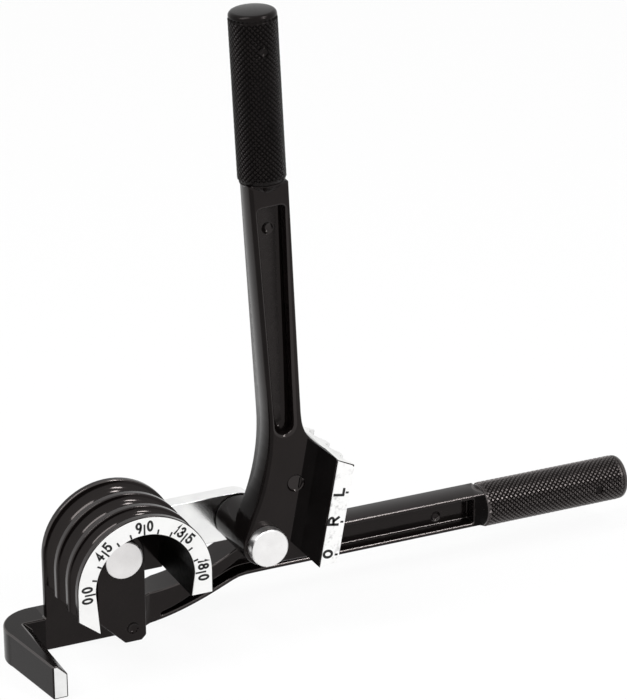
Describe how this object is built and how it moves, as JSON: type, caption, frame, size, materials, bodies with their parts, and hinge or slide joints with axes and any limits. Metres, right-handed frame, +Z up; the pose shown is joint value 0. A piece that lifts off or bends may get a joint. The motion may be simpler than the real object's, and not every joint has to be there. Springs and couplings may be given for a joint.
{
  "type": "tube bender",
  "caption": "Hand lever tube bender: grooved half-round form with an angle scale and a tube hook on a fixed handle, and a shoe lever that swings round it on a link; knurled grips",
  "frame": {"origin": "on the flat underside of the fixed handle's bar, below the form axis, at the form's back plane", "axes": "+X along the fixed handle towards its grip, +Y to the back along the form axis, +Z up; the scale faces -Y"},
  "size_m": [0.24, 0.0497, 0.2196],
  "materials": {
    "black_enamel": "gloss",
    "knurled_black": "gloss",
    "polished_steel": "polished",
    "plated_steel": "satin",
    "spring_steel": "satin",
    "printed_label": "satin"
  },
  "bodies": {
    "base": {"fixed_handle": "black_enamel", "bending_form": "black_enamel", "form_screws": "spring_steel", "form_dowels": "plated_steel", "angle_scale": "printed_label", "form_pin": "plated_steel", "form_pin_shim": "plated_steel", "form_pin_washer": "plated_steel", "form_pin_clip": "spring_steel", "lower_grip": "knurled_black", "lower_grip_lock": "spring_steel"},
    "swing_link": {"link": "polished_steel", "handle_pin": "plated_steel", "handle_pin_shim": "plated_steel", "handle_pin_washer": "plated_steel", "handle_pin_clip": "spring_steel"},
    "lever": {"shoe_handle": "black_enamel", "shoe_label": "printed_label", "upper_grip": "knurled_black", "upper_grip_lock": "spring_steel"}
  },
  "joints": [
    {"name": "link_swing", "type": "hinge", "parent": "base", "child": "swing_link", "pos_m": [0, 0, 0.0344], "axis": [0, -1, 0], "range_deg": [0, 180]},
    {"name": "lever_swing", "type": "hinge", "parent": "swing_link", "child": "lever", "pos_m": [0.0475, 0, 0.0344], "axis": [0, -1, 0], "range_deg": [-172, 10]}
  ]
}
